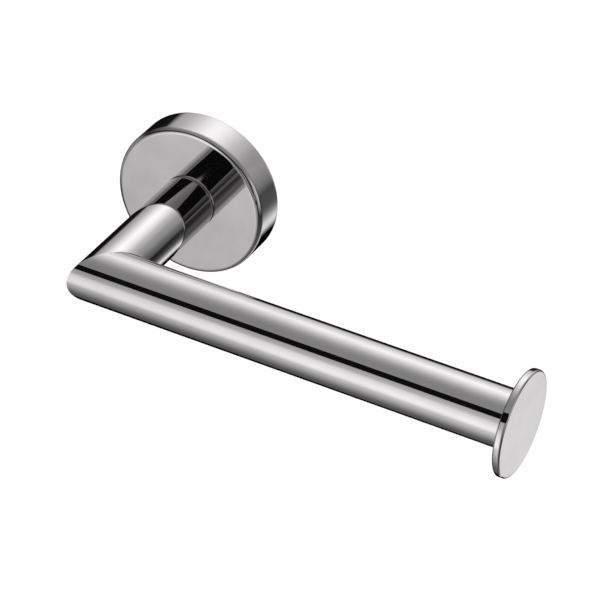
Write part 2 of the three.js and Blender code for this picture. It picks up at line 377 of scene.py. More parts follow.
def add_piece(name, mesh_data, material, body, stands_for=(), sharp=30.0):
    """Makes a closed mesh with its faces outwards, and lets it ride on a body of the part."""
    points, faces = mesh_data
    mesh = bpy.data.meshes.new(name)
    mesh.from_pydata(points.tolist(), [], faces.tolist())
    shell = bmesh.new()
    shell.from_mesh(mesh)
    bmesh.ops.remove_doubles(shell, verts=shell.verts, dist=1e-7)
    loose = [v for v in shell.verts if not v.link_faces]
    bmesh.ops.delete(shell, geom=loose, context="VERTS")
    bmesh.ops.recalc_face_normals(shell, faces=shell.faces)
    open_edges = sum(len(e.link_faces) != 2 for e in shell.edges)
    shell.to_mesh(mesh)
    shell.free()
    if open_edges:
        raise RuntimeError(f"{name} isn't closed: {open_edges} edges are open")
    mesh.shade_smooth()
    mesh.set_sharp_from_angle(angle=math.radians(sharp))
    mesh.materials.append(material)
    piece = bpy.data.objects.new(name, mesh)
    bpy.context.scene.collection.objects.link(piece)
    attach(piece, body)
    if stands_for:
        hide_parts(*stands_for)


# ---- materials -----------------------------------------------------------------------------------


def add_node(tree, kind, inputs=(), **settings):
    """A shader node with its settings, and its inputs given as values or as sockets to link."""
    node = tree.nodes.new(kind)
    for key, value in settings.items():
        setattr(node, key, value)
    for key, value in dict(inputs).items():
        if isinstance(value, bpy.types.NodeSocket):
            tree.links.new(value, node.inputs[key])
        else:
            node.inputs[key].default_value = value
    return node


def math_node(tree, operation, *values, clamp=False):
    """The result of a Math node."""
    inputs = dict(enumerate(values))
    return add_node(tree, "ShaderNodeMath", inputs, operation=operation, use_clamp=clamp).outputs[0]


def noise(tree, vector, scale, detail=3.0, roughness=0.5):
    """A noise pattern's value, its scale in turns a metre."""
    inputs = {"Vector": vector, "Scale": scale, "Detail": detail, "Roughness": roughness}
    return add_node(tree, "ShaderNodeTexNoise", inputs).outputs["Fac"]


def ranged(tree, value, low, high, to_low, to_high, smooth=False):
    """A value carried from one range to another and held at its ends."""
    kind = "SMOOTHSTEP" if smooth else "LINEAR"
    inputs = {"Value": value, "From Min": low, "From Max": high, "To Min": to_low, "To Max": to_high}
    return add_node(tree, "ShaderNodeMapRange", inputs, interpolation_type=kind).outputs["Result"]


def shaded(tree, value, colours):
    """A colour that follows a value between evenly spaced stops."""
    ramp = add_node(tree, "ShaderNodeValToRGB", {"Fac": value})
    stops = ramp.color_ramp.elements
    for k, rgb in enumerate(colours):
        place_on_ramp = k / (len(colours) - 1)
        stop = stops[k] if k < len(stops) else stops.new(place_on_ramp)
        stop.position = place_on_ramp
        stop.color = (*rgb, 1.0)
    return ramp.outputs["Color"]


def tinted(colour, factor):
    """A colour made lighter or darker."""
    return tuple(min(1.0, c * factor) for c in colour)


def new_metal(name):
    """An empty node material with a metallic shader; gives it, its tree, shader and place."""
    material = bpy.data.materials.new(name)
    material.use_nodes = True
    tree = material.node_tree
    shader = tree.nodes["Principled BSDF"]
    shader.inputs["Metallic"].default_value = 1.0
    place_on_piece = add_node(tree, "ShaderNodeTexCoord").outputs["Object"]
    return material, tree, shader, place_on_piece


def stretched(tree, vector, scale):
    """The place on a piece, drawn out or packed along each axis."""
    return add_node(tree, "ShaderNodeMapping", {"Vector": vector, "Scale": scale}).outputs["Vector"]


def bump(tree, shader, *layers):
    """Stacks bump layers of (height, depth in metres, strength) under the shader's normal."""
    normal = None
    for height, depth, strength in layers:
        inputs = {"Height": height, "Distance": depth, "Strength": strength}
        if normal is not None:
            inputs["Normal"] = normal
        normal = add_node(tree, "ShaderNodeBump", inputs).outputs["Normal"]
    tree.links.new(normal, shader.inputs["Normal"])


def polished_steel(name, grain, haze=1.0):
    """Mirror-polished stainless steel: fine wheel marks along the grain, haze and faint ripple."""
    finish = bpy.context.scene.holder_finish
    material, tree, shader, spot = new_metal(name)
    marks = noise(tree, stretched(tree, spot, grain), 1.0, 6.0, 0.65)
    clouds = noise(tree, spot, 75.0, 4.0, 0.55)
    ripple = noise(tree, spot, 130.0, 1.0)
    steel = tuple(finish.steel)
    tints = [tinted(steel, 1 - 0.07 * haze), tinted(steel, 0.995), tinted(steel, 1 + 0.045 * haze)]
    tree.links.new(shaded(tree, ranged(tree, clouds, 0.3, 0.7, 0, 1), tints), shader.inputs["Base Color"])
    polish = finish.steel_roughness
    rough = math_node(
        tree,
        "ADD",
        ranged(tree, marks, 0.35, 0.75, 0.6 * polish, 1.25 * polish),
        ranged(tree, clouds, 0.45, 0.75, 0.0, 0.6 * polish * haze),
    )
    tree.links.new(rough, shader.inputs["Roughness"])
    bump(tree, shader, (ripple, 6e-6, 0.5), (marks, 6e-7, 0.5 * haze))
    return material


ACROSS_THE_SEAM = (0.707, -0.707, 0.0)  # square to the mitre's plane


def weld_steel():
    """The polished weld: the same steel, with dark scores dragged along the seam by the wheel."""
    finish = bpy.context.scene.holder_finish
    material, tree, shader, spot = new_metal("weld_steel")
    inputs = {0: spot, 1: ACROSS_THE_SEAM}
    across = add_node(tree, "ShaderNodeVectorMath", inputs, operation="DOT_PRODUCT")
    height = add_node(tree, "ShaderNodeSeparateXYZ", {"Vector": spot}).outputs["Z"]
    seam = add_node(
        tree,
        "ShaderNodeCombineXYZ",
        {
            "X": math_node(tree, "MULTIPLY", across.outputs["Value"], 1900.0),
            "Y": math_node(tree, "MULTIPLY", height, 170.0),
        },
    )
    scores = noise(tree, seam.outputs["Vector"], 1.0, 2.0, 0.5)
    pits = noise(tree, spot, 1500.0, 2.0)
    steel = tuple(finish.steel)
    tints = [tinted(steel, 0.12), tinted(steel, 0.35), tinted(steel, 0.9), steel]
    tree.links.new(shaded(tree, ranged(tree, scores, 0.36, 0.58, 0, 1), tints), shader.inputs["Base Color"])
    tree.links.new(ranged(tree, scores, 0.3, 0.7, 0.2, 0.07), shader.inputs["Roughness"])
    bump(tree, shader, (scores, 6e-5, 0.8), (pits, 1e-5, 0.3))
    return material


def cast_zinc():
    """Die-cast zinc: a matt orange-peel skin with flow marks, rubbed brighter on its edges."""
    finish = bpy.context.scene.holder_finish
    material, tree, shader, spot = new_metal("cast_zinc")
    skin = noise(tree, spot, 1900.0, 5.0, 0.6)
    flow = noise(tree, stretched(tree, spot, (160.0, 60.0, 160.0)), 1.0, 4.0, 0.6)
    edge = add_node(tree, "ShaderNodeNewGeometry").outputs["Pointiness"]
    worn = ranged(tree, edge, 0.52, 0.60, 0.0, 0.45)
    zinc = tuple(finish.casting)
    tone = math_node(tree, "ADD", ranged(tree, flow, 0.3, 0.7, 0.1, 0.6), worn, clamp=True)
    tints = [tinted(zinc, 0.62), zinc, tinted(zinc, 1.55)]
    tree.links.new(shaded(tree, tone, tints), shader.inputs["Base Color"])
    dull = finish.casting_roughness
    tree.links.new(ranged(tree, skin, 0.3, 0.7, 0.8 * dull, 1.25 * dull), shader.inputs["Roughness"])
    bump(tree, shader, (skin, 5e-5, 0.55), (flow, 6e-5, 0.3))
    return material


def plated_steel():
    """Bright zinc plating: turning marks, cloudy passivation and dull spots."""
    finish = bpy.context.scene.holder_finish
    material, tree, shader, spot = new_metal("plated_steel")
    clouds = noise(tree, spot, 350.0, 5.0, 0.6)
    marks = noise(tree, stretched(tree, spot, (300.0, 5200.0, 300.0)), 1.0, 4.0, 0.6)
    plate = tuple(finish.plating)
    straw = (plate[0], plate[1] * 0.97, plate[2] * 0.86)
    tints = [tinted(plate, 0.75), plate, straw, tinted(plate, 1.1)]
    tree.links.new(shaded(tree, ranged(tree, clouds, 0.3, 0.7, 0, 1), tints), shader.inputs["Base Color"])
    dull = finish.plating_roughness
    tree.links.new(ranged(tree, clouds, 0.3, 0.7, 0.75 * dull, 1.35 * dull), shader.inputs["Roughness"])
    bump(tree, shader, (marks, 8e-6, 0.5), (clouds, 2e-5, 0.25))
    return material


def black_steel():
    """Blackened steel: a dark oxide, thin and brighter on the crests and corners."""
    finish = bpy.context.scene.holder_finish
    material, tree, shader, spot = new_metal("black_steel")
    clouds = noise(tree, spot, 900.0, 4.0, 0.6)
    edge = add_node(tree, "ShaderNodeNewGeometry").outputs["Pointiness"]
    worn = ranged(tree, edge, 0.53, 0.66, 0.0, 0.6)
    black = tuple(finish.black)
    tone = math_node(tree, "ADD", ranged(tree, clouds, 0.35, 0.75, 0.0, 0.35), worn, clamp=True)
    tints = [black, tinted(black, 2.2), tinted(black, 7.0)]
    tree.links.new(shaded(tree, tone, tints), shader.inputs["Base Color"])
    dull = finish.black_roughness
    tree.links.new(ranged(tree, clouds, 0.3, 0.7, 0.8 * dull, 1.3 * dull), shader.inputs["Roughness"])
    bump(tree, shader, (clouds, 1.5e-5, 0.4))
    return material


def material_named(name, make, *values):
    """A material made once and then shared."""
    return bpy.data.materials.get(name) or make(*values)


# Wheel marks in turns a metre: they run round the sides of the flange and the disc, and round
# each tube. On the flat faces they have no direction.
def mirror_finish(name, grain, haze=1.0):
    """Polished steel by name, with its grain."""
    return material_named(name, polished_steel, name, grain, haze)


# ---- pieces ---------------------------------------------------------------------------------------


def cover_mesh(shape):
    """The drawn cover: a closed outline of its outer and inner skins, pierced twice.

    The pin passes through the face above the axis, and the set screw through the side below.
    """
    sheet, edge = shape.cover_sheet, shape.cover_edge
    inner_edge = edge - sheet
    bore = COVER_RADIUS - sheet
    inner_face = COVER_FACE + sheet
    pin_radius = PIN_RADIUS + PRESS_GAP
    screw_radius = SET_RADIUS + COVER_HOLE_FIT
    near, far = PIN_OFFSET - 1.25 * pin_radius, PIN_OFFSET + 1.25 * pin_radius
    deep, shallow = SET_PLACE - 1.2 * screw_radius, SET_PLACE + 1.2 * screw_radius
    outline = Outline(SCREW_HOLE_RADIUS, COVER_FACE).line(near, COVER_FACE)
    outline.line(far, COVER_FACE, 10, "face").line(COVER_RADIUS - edge - HAIR, COVER_FACE, 24)
    outline.arc(COVER_RADIUS - edge, COVER_FACE + edge, edge, -90, 0, 20)
    outline.line(COVER_RADIUS, COVER_FACE + edge + HAIR).line(COVER_RADIUS, deep, 6)
    outline.line(COVER_RADIUS, shallow, 10, "side")
    outline.arc(COVER_RADIUS - RIM_ROUND, COVER_RIM - RIM_ROUND, RIM_ROUND, 0, 90, 4)
    outline.arc(bore + RIM_ROUND, COVER_RIM - RIM_ROUND, RIM_ROUND, 90, 180, 4)
    outline.line(bore, shallow).line(bore, deep, 10, "inner side")
    outline.arc(bore - inner_edge, inner_face + inner_edge, inner_edge, 0, -90, 8)
    outline.line(far, inner_face, 8).line(near, inner_face, 10, "inner face")
    outline.line(SCREW_HOLE_RADIUS, inner_face)
    shell = PiercedShell(outline, shape.around, round_post)
    pin_hole = face_hole(pin_radius, PIN_OFFSET, UP)
    front, _ = shell.hole("face", UP, 18, pin_hole)
    back, _ = shell.hole("inner face", UP, 18, pin_hole)
    shell.bridge(front, back)
    outside, _ = shell.hole("side", DOWN, 6, side_hole(screw_radius, SET_PLACE, DOWN, COVER_RADIUS))
    inside, _ = shell.hole("inner side", DOWN, 6, side_hole(screw_radius, SET_PLACE, DOWN, bore))
    shell.bridge(outside, inside)
    return shell.mesh()


def hub_mesh(shape):
    """The hub casting: a thick cup with a blind hole for the pin and one for the set screw."""
    edge = shape.casting_edge
    radius, bore = HUB_HIGH[0], BASE_HIGH[0] + BASE_FIT
    front, rim = HUB_LOW[1], HUB_HIGH[1]
    plate_back = node_box("post_washer")[0][1] - PRESS_GAP
    pin_radius = PIN_RADIUS + PRESS_GAP
    pin_depth = PIN_HIGH[1] + PRESS_GAP
    screw_radius = SET_RADIUS + PRESS_GAP
    near, far = PIN_OFFSET - 1.25 * pin_radius, PIN_OFFSET + 1.25 * pin_radius
    deep, shallow = SET_PLACE - 1.12 * screw_radius, SET_PLACE + 1.1 * screw_radius
    shoulder = shape.cover_edge - shape.cover_sheet + PRESS_GAP
    outline = Outline(SCREW_HOLE_RADIUS, front).line(near, front).line(far, front, 10, "face")
    outline.line(radius - shoulder, front, 6).line(radius, front + shoulder)
    outline.line(radius, deep, 3).line(radius, shallow, 10, "side")
    outline.arc(radius - RIM_ROUND, rim - RIM_ROUND, RIM_ROUND, 0, 90, 4)
    outline.arc(bore + RIM_ROUND, rim - RIM_ROUND, RIM_ROUND, 90, 180, 4)
    outline.line(bore, shallow).line(bore, deep, 10, "bore")
    outline.arc(bore - edge, plate_back + edge, edge, 0, -90, 4).line(SCREW_HOLE_RADIUS, plate_back, 6)
    shell = PiercedShell(outline, shape.around, round_post)
    mouth, turn = shell.hole("face", UP, 18, face_hole(pin_radius, PIN_OFFSET, UP))
    sideways, outwards = np.cos(turn), np.sin(turn)
    floor_ring = np.stack(
        [-pin_radius * sideways, np.full(len(turn), pin_depth), PIN_OFFSET + pin_radius * outwards], axis=1
    )
    middle = np.tile([0.0, pin_depth, PIN_OFFSET], (len(turn), 1))
    shell.join(shell.join(mouth, floor_ring), middle)
    outside, _ = shell.hole("side", DOWN, 6, side_hole(screw_radius, SET_PLACE, DOWN, radius))
    inside, _ = shell.hole("bore", DOWN, 6, side_hole(screw_radius, SET_PLACE, DOWN, bore))
    shell.bridge(outside, inside)
    return shell.mesh()


def base_mesh(shape):
    """The base casting: a disc with a bore, two countersunk screw holes and the screw's dimple."""
    edge = shape.casting_edge
    radius, front = BASE_HIGH[0], BASE_LOW[1]
    offset = (BASE_BORE + radius) / 2
    near, far = offset - 1.04 * SINK_RADIUS, offset + 1.04 * SINK_RADIUS
    dimple = SET_RADIUS + DIMPLE_FIT
    deep, shallow = SET_PLACE - 1.15 * dimple, SET_PLACE + 1.15 * dimple
    outline = Outline(0.0, -BASE_BACK).line(BASE_BORE, -BASE_BACK).line(BASE_BORE, front + RIM_ROUND)
    outline.arc(BASE_BORE + RIM_ROUND, front + RIM_ROUND, RIM_ROUND, 180, 270, 4)
    outline.line(near, front).line(far, front, 12, "face")
    outline.arc(radius - edge, front + edge, edge, -90, 0, 8)
    outline.line(radius, deep).line(radius, shallow, 8, "side")
    outline.arc(radius - RIM_ROUND, -RIM_ROUND, RIM_ROUND, 0, 90, 4)
    outline.line(far, 0.0).line(near, 0.0, 12, "back").line(0.0, 0.0, 4)
    shell = PiercedShell(outline, shape.around, round_post)
    for angle in (0.0, math.pi):
        mouth, turn = shell.hole("face", angle, 16, face_hole(SINK_RADIUS, offset, angle))
        back, _ = shell.hole("back", angle, 16, face_hole(WALL_HOLE_RADIUS, offset, angle))
        bearing, distance = face_hole(WALL_HOLE_RADIUS, offset, angle)(turn)
        sink_floor = front + SINK_RADIUS - WALL_HOLE_RADIUS
        throat = round_post(distance, bearing, np.full(len(turn), sink_floor))
        shell.bridge(shell.join(mouth, throat), back)
    mouth, turn = shell.hole("side", DOWN, 8, side_hole(dimple, SET_PLACE, DOWN, radius))
    shell.join(mouth, np.tile([0.0, SET_PLACE, -radius + dimple], (len(turn), 1)))
    return shell.mesh()


def tube_mesh(shape, mitre_along, far_along, coordinates):
    """A tube with one end cut at the mitre and a rounded far end.

    At the mitre the end lies at mitre_along + radius cos angle, since the plane stands at 45
    degrees; each row of the skin is a share of the way from there to the far end.
    """
    edge, bore = shape.tube_edge, TUBE_RADIUS - shape.tube_wall
    angle = ring_of_angles(shape.around)
    rounding = np.radians(np.linspace(0, 90, 7))
    shares = np.concatenate([[0.0, 0.002], np.linspace(0.02, 0.98, 25), [0.998]])
    start = far_along - edge
    rows = [(TUBE_RADIUS, mitre_along + TUBE_RADIUS * np.cos(angle), start, s) for s in shares]
    skin = [np.stack([np.full_like(angle, r), low + (high - low) * s]) for r, low, high, s in rows]
    for turn in rounding:
        radius = TUBE_RADIUS - edge + edge * math.cos(turn)
        along = start + edge * math.sin(turn)
        skin.append(np.stack([np.full_like(angle, radius), np.full_like(angle, along)]))
    for s in np.linspace(1, 0, 12):
        low = mitre_along + bore * np.cos(angle)
        skin.append(np.stack([np.full_like(angle, bore), low + (far_along - low) * s]))
    skin = np.array(skin)
    grid = coordinates(skin[:, 0], angle, skin[:, 1])
    return grid.reshape(-1, 3), grid_faces(len(skin), len(angle), close_rows=True)


def weld_mesh(shape):
    """The polished weld in the inside corner, a fillet carried along the mitre's ellipse.

    At angle a the seam is at (R cos a, seam + R cos a, R sin a). The fillet is the quadratic
    curve from a point that far up the post, through the seam, to one that far along the arm, with
    ripples left by the polishing wheel, and a root inside the tubes' wall closes it underneath.
    The legs shrink to nothing at the top and the bottom, where the two tubes run level.
    """
    steps, across = 220, 14
    reach, thinning = math.radians(84), 0.18  # to each side of the inside corner, and at its ends
    angle = np.linspace(-reach, reach, steps)[:, None]
    t = np.linspace(0, 1, across)[None, :]
    fade = np.clip(np.cos(angle), 0, 1) ** 0.5 * np.clip((reach - np.abs(angle)) / thinning, 0, 1)
    wander = 1 + 0.10 * np.sin(11 * angle + 0.6) + 0.07 * np.sin(23 * angle + 2.1) + 0.04 * np.sin(47 * angle)
    leg = shape.weld_width * fade * wander
    out, rise = TUBE_RADIUS * np.cos(angle), TUBE_RADIUS * np.sin(angle)
    seam = np.concatenate([out, ARM_AXIS[1] + out, rise], axis=1)[:, None, :]
    ripple = 0.035 * np.sin(3 * math.pi * t) * np.sin(9 * angle + 4 * t) * leg
    up_post = (((1 - t) ** 2) * leg + ripple)[..., None] * Y
    along_arm = ((t**2) * leg + ripple)[..., None] * X
    top = seam + up_post + along_arm
    inwards = np.concatenate([-np.cos(angle), -np.cos(angle), -np.sin(angle)], axis=1)[:, None, :]
    depth = (0.3 * shape.weld_width * fade * np.sin(math.pi * np.linspace(0, 1, across)) ** 0.5)[..., None]
    root = (seam + 0.6 * (up_post + along_arm))[:, ::-1] + depth * inwards
    ring = np.concatenate([top, root[:, 1:-1]], axis=1)
    return carried(ring)


def disc_mesh(shape):
    """The stop disc: a turned disc with rounded edges, a flat face and a blind seat."""
    edge, radius = shape.disc_edge, DISC_RADIUS
    back, face = DISC_LOW[0], DISC_HIGH[0]
    seat = node_box("disc_stud")[1][0] + PRESS_GAP
    outline = Outline(0.0, seat).line(SCREW_HOLE_RADIUS, seat).line(SCREW_HOLE_RADIUS, back)
    outline.line(radius - edge - HAIR, back, 12)
    outline.arc(radius - edge, back + edge, edge, -90, 0, 12)
    outline.arc(radius - edge, face - edge, edge, 0, 90, 12)
    outline.line(radius - edge - HAIR, face).line(0.0, face, 24)
    return turned(outline, shape.around, round_arm)


def thread_radius(along, angle, major, depth, pitch):
    """A thread's radius: a rounded groove that climbs one pitch for each turn."""
    return major - depth * (0.5 - 0.5 * np.cos(2 * math.pi * along / pitch - angle)) ** 1.2


def hexagon_radius(angle, across_flats):
    """Distance from the axis to a hexagon's side, with corners at the quarter turn."""
    sector = np.mod(angle - math.pi / 2, math.pi / 3) - math.pi / 6
    return across_flats / 2 / np.cos(sector)


def rows_mesh(rows, coordinates):
    """Rows of (radius for each angle, along), closed at a pole on each end."""
    angle = ring_of_angles(THREAD_SEGMENTS)
    radius = np.array([np.broadcast_to(r, angle.shape) for r, _ in rows])
    along = np.array([a for _, a in rows])[:, None]
    return coordinates(radius, angle, along).reshape(-1, 3), grid_faces(len(rows), len(angle))


def thread_rows(start, stop, major, pitch, chamfer):
    """Rows of a thread between two places, run out to a cone at each end."""
    angle = ring_of_angles(THREAD_SEGMENTS)
    depth = 0.58 * pitch
    rows = []
    for along in np.linspace(start, stop, int(10 * abs(stop - start) / pitch) + 1):
        near_end = min(abs(along - start), abs(stop - along))
        cone = major - chamfer + near_end
        rows.append((np.minimum(thread_radius(along, angle, major, depth, pitch), cone), along))
    return rows


def post_screw_mesh():
    """The M6 screw: a threaded shank, then a hexagon head chamfered to a cone at both ends."""
    angle = ring_of_angles(THREAD_SEGMENTS)
    tip, head_top = SCREW_LOW[1], SCREW_HIGH[1]
    head = node_box("post_lock_washer")[1][1] + PRESS_GAP
    flats = SCREW_HIGH[0] - SCREW_LOW[0]
    hexagon = hexagon_radius(angle, flats)
    inscribed, slope = 0.96 * flats / 2, math.tan(math.radians(60))
    rows = [(0.0, tip), *thread_rows(tip, head, M6_RADIUS, M6_PITCH, 0.9 * MM)]
    for rise in np.linspace(0, 0.35 * MM, 4):
        rows.append((np.minimum(hexagon, inscribed + slope * rise), head + rise))
    for rise in np.linspace(0.5 * MM, 0, 7):
        rows.append((np.minimum(hexagon, inscribed + slope * rise), head_top - rise))
    rows.append((0.0, head_top))
    return rows_mesh(rows, round_post)


def disc_stud_mesh():
    """The M6 stud between the stop disc and the plug in the arm."""
    low, high = node_box("disc_stud")
    thread = thread_rows(low[0], high[0], M6_RADIUS, M6_PITCH, 0.7 * MM)
    return rows_mesh([(0.0, low[0]), *thread, (0.0, high[0])], round_arm)


def set_screw_mesh():
    """The M4 cone-point screw: point, thread, end face and hexagon socket in one outline."""
    centre = np.array([0.0, SET_PLACE, 0.0])
    angle = ring_of_angles(THREAD_SEGMENTS)
    radius, tip, end = SET_RADIUS, SET_HIGH[2], SET_LOW[2]
    flat = 0.2 * radius
    socket = hexagon_radius(angle, SOCKET_FLATS)
    mouth = radius - 0.4 * MM

    def round_screw(distance, turn, along):
        return place(distance, turn, along, centre, X, Y, Z)

    rows = [(0.0, tip), (flat, tip), (radius - 0.35 * MM, tip - (radius - 0.35 * MM - flat))]
    rows += thread_rows(rows[-1][1], end + 0.02 * MM, radius, M4_PITCH, 0.4 * MM)
    rows += [(mouth - 0.02 * MM, end), (np.maximum(socket, socket.max() + 0.05 * MM), end)]
    rows += [(socket, end + 0.12 * MM), (socket, end + SOCKET_DEPTH), (0.0, end + SOCKET_DEPTH + 0.4 * MM)]
    return rows_mesh(rows, round_screw)


def washer_mesh(name, edge):
    """A plain washer with eased edges."""
    low, high = node_box(name)
    radius, bottom, top = high[0], low[1], high[1]
    outline = Outline(SCREW_HOLE_RADIUS, bottom)
    outline.arc(radius - edge, bottom + edge, edge, -90, 0, 4).arc(radius - edge, top - edge, edge, 0, 90, 4)
    outline.line(SCREW_HOLE_RADIUS, top)
    return turned(outline, 96, round_post)


def lock_washer_mesh():
    """The split washer: a rounded square section carried round from one side of the slit to the
    other, climbing a little on its way, with flat ends."""
    low, high = node_box("post_lock_washer")
    outer, inner = high[0], SCREW_HOLE_RADIUS
    middle, half = (outer + inner) / 2, (outer - inner) / 2
    rise = 0.12 * (high[1] - low[1])
    half_height = (high[1] - low[1] - rise) / 2
    section = np.linspace(0, 2 * math.pi, 28, endpoint=False)
    # A superellipse: a square whose corners are rounded off.
    wide = np.sign(np.cos(section)) * np.abs(np.cos(section)) ** 0.35 * half
    tall = np.sign(np.sin(section)) * np.abs(np.sin(section)) ** 0.35 * half_height
    turn = np.linspace(math.radians(97), math.radians(443), 120)[:, None]
    share_round = (turn - turn[0]) / (turn[-1] - turn[0])
    along = low[1] + half_height + rise * share_round + tall[None, :]
    grid = round_post(middle + wide[None, :], turn, along)
    return carried(grid)


def pin_mesh():
    """The locating pin: a ground rod with rounded ends."""
    inner, edge = PIN_RADIUS - 0.35 * MM, 0.35 * MM
    centre = np.array([0.0, 0.0, PIN_OFFSET])
    outline = Outline(0.0, PIN_LOW[1]).arc(inner, PIN_LOW[1] + edge, edge, -90, 0, 6)
    outline.arc(inner, PIN_HIGH[1] - edge, edge, 0, 90, 6).line(0.0, PIN_HIGH[1])
    return turned(outline, 64, lambda r, turn, along: place(r, turn, along, centre, X, Z, Y))


def arm_plug_mesh():
    """The plug pressed in the arm's end: a bored rod with chamfered ends."""
    low, high = node_box("arm_plug")
    radius, chamfer = high[2], 0.6 * MM
    outline = Outline(SCREW_HOLE_RADIUS + chamfer / 2, low[0]).line(radius - chamfer, low[0])
    outline.line(radius, low[0] + chamfer).line(radius, high[0] - chamfer, 6).line(radius - chamfer, high[0])
    outline.line(SCREW_HOLE_RADIUS + chamfer / 2, high[0]).line(SCREW_HOLE_RADIUS, high[0] - chamfer / 2)
    outline.line(SCREW_HOLE_RADIUS, low[0] + chamfer / 2, 6)
    return turned(outline, 144, round_arm)


# ---- the studio ----------------------------------------------------------------------------------

# Soft boxes and black cards far off round the holder. Bearing and height are where the middle of
# each stands, in degrees: bearing 0 is the room in front, 90 the arm's side, 180 the wall. Then
# come its half width and half height, and how far each edge fades. A soft box adds its level to
# the light, and a card lets only its level through.
SOFT_BOXES = (
    ("overhead bar behind", -166, 46, 23, 24, 28, 35, 1.50),
    ("front", -18, -15, 6, 35, 41, 44, 1.82),
    ("low fill behind", 164, -51, 14, 19, 19, 11, 1.72),
    ("side fill", 123, 17, 48, 21, 18, 5, 0.15),
    ("right fill", 88, 4, 28, 18, 10, 10, 0.55),
    ("wall bounce", -178, 5, 42, 8, 4, 28, 0.64),
    ("left front fill", -73, -15, 63, 18, 9, 6, 0.31),
    ("right front fill", 29, 4, 4, 30, 11, 10, 0.60),
    ("low right front", 14, -32, 4, 14, 12, 18, 0.50),
)
BLACK_CARDS = (
    ("left of the post", -143, -9, 33, 16, 15, 5, 0.02),
    ("behind below", -153, -48, 33, 22, 9, 5, 0.0),
)
ROOM_LEVELS = (0.13, 0.0, 0.36)  # straight down, level, straight up


def card_mask(tree, direction, bearing, height, half_width, half_height, soft_width, soft_height):
    """How much of a card a direction sees: one inside its edges, falling smoothly to nought."""
    east, up = math.radians(bearing), math.radians(height)
    forward = (math.sin(east) * math.cos(up), -math.cos(east) * math.cos(up), math.sin(up))
    right = (math.cos(east), math.sin(east), 0.0)
    above = (-math.sin(east) * math.sin(up), math.cos(east) * math.sin(up), math.cos(up))

    def along(axis):
        inputs = {0: direction, 1: axis}
        return add_node(tree, "ShaderNodeVectorMath", inputs, operation="DOT_PRODUCT").outputs["Value"]

    wide = math_node(tree, "ABSOLUTE", math_node(tree, "ARCTAN2", along(right), along(forward)))
    tall = math_node(tree, "ABSOLUTE", math_node(tree, "ARCSINE", along(above)))
    masks = []
    for angle, half, soft in ((wide, half_width, soft_width), (tall, half_height, soft_height)):
        inner, outer = math.radians(half - soft), math.radians(half + soft)
        masks.append(ranged(tree, angle, inner, outer, 1.0, 0.0, smooth=True))
    return math_node(tree, "MULTIPLY", *masks)


def light_room():
    """The world: the soft boxes and cards by direction, and plain white where the camera looks."""
    world = bpy.data.worlds.new("studio")
    world.use_nodes = True
    bpy.context.scene.world = world
    tree = world.node_tree
    tree.nodes.clear()
    seen = add_node(tree, "ShaderNodeTexCoord").outputs["Generated"]
    direction = add_node(tree, "ShaderNodeVectorMath", {0: seen}, operation="NORMALIZE").outputs["Vector"]
    height = add_node(tree, "ShaderNodeSeparateXYZ", {"Vector": direction}).outputs["Z"]
    down, level, up = ROOM_LEVELS
    above = ranged(tree, height, 0.0, 1.0, level, up, smooth=True)
    below = ranged(tree, height, -1.0, 0.0, down - level, 0.0, smooth=True)
    light = math_node(tree, "ADD", above, below)
    for _, *card, level in SOFT_BOXES:
        mask = card_mask(tree, direction, *card)
        light = math_node(tree, "MULTIPLY_ADD", mask, level, light)
    for _, *card, level in BLACK_CARDS:
        mask = card_mask(tree, direction, *card)
        light = math_node(tree, "MULTIPLY", light, math_node(tree, "MULTIPLY_ADD", mask, level - 1.0, 1.0))
    studio = add_node(tree, "ShaderNodeBackground", {"Color": light})
    plain = add_node(tree, "ShaderNodeBackground", {"Color": (1.0, 1.0, 1.0, 1.0)})
    to_camera = add_node(tree, "ShaderNodeLightPath").outputs["Is Camera Ray"]
    mixed = add_node(
        tree, "ShaderNodeMixShader", {0: to_camera, 1: studio.outputs[0], 2: plain.outputs[0]}
    )
    add_node(tree, "ShaderNodeOutputWorld", {"Surface": mixed.outputs[0]})


def matt_panel(name, corners, material_name, grain, tones, roughness):
    """A four-cornered panel without a sheen, a little uneven in tone; gives it and its shader."""
    mesh = bpy.data.meshes.new(name)
    mesh.from_pydata(corners, [], [(0, 1, 2, 3)])
    material = bpy.data.materials.new(material_name)
    material.use_nodes = True
    tree = material.node_tree
    shader = tree.nodes["Principled BSDF"]
    spot = add_node(tree, "ShaderNodeTexCoord").outputs["Object"]
    greys = [(tone, tone, tone) for tone in tones]
    tree.links.new(shaded(tree, noise(tree, spot, *grain), greys), shader.inputs["Base Color"])
    shader.inputs["Roughness"].default_value = roughness
    shader.inputs["Specular IOR Level"].default_value = 0.0
    mesh.materials.append(material)
    panel = bpy.data.objects.new(name, mesh)
    bpy.context.scene.collection.objects.link(panel)
    return panel, shader


def lay_floor(studio):
    """A plain pale floor that mirrors don't show."""
    half, drop = studio.floor_size / 2, -studio.floor_drop
    corners = [(-half, -half, drop), (half, -half, drop), (half, half, drop), (-half, half, drop)]
    floor, shader = matt_panel("floor", corners, "pale_floor", (6.0, 4.0), (0.88, 0.93), 0.9)
    shader.inputs["Emission Color"].default_value = (1.0, 1.0, 1.0, 1.0)
    shader.inputs["Emission Strength"].default_value = FLOOR_GLOW
    floor.visible_glossy = False


def hang_black_flag(studio):
    """A long black flag hung in front of the holder, which only its reflections show."""
    half, away = studio.flag_length / 2, -studio.flag_distance
    low, high = studio.flag_low, studio.flag_high
    corners = [(-half, away, low), (half, away, low), (half, away, high), (-half, away, high)]
    flag, _ = matt_panel("black_flag", corners, "black_cloth", (900.0, 2.0), (0.004, 0.012), 1.0)
    flag.visible_camera = False
    flag.visible_diffuse = False
    flag.visible_shadow = False


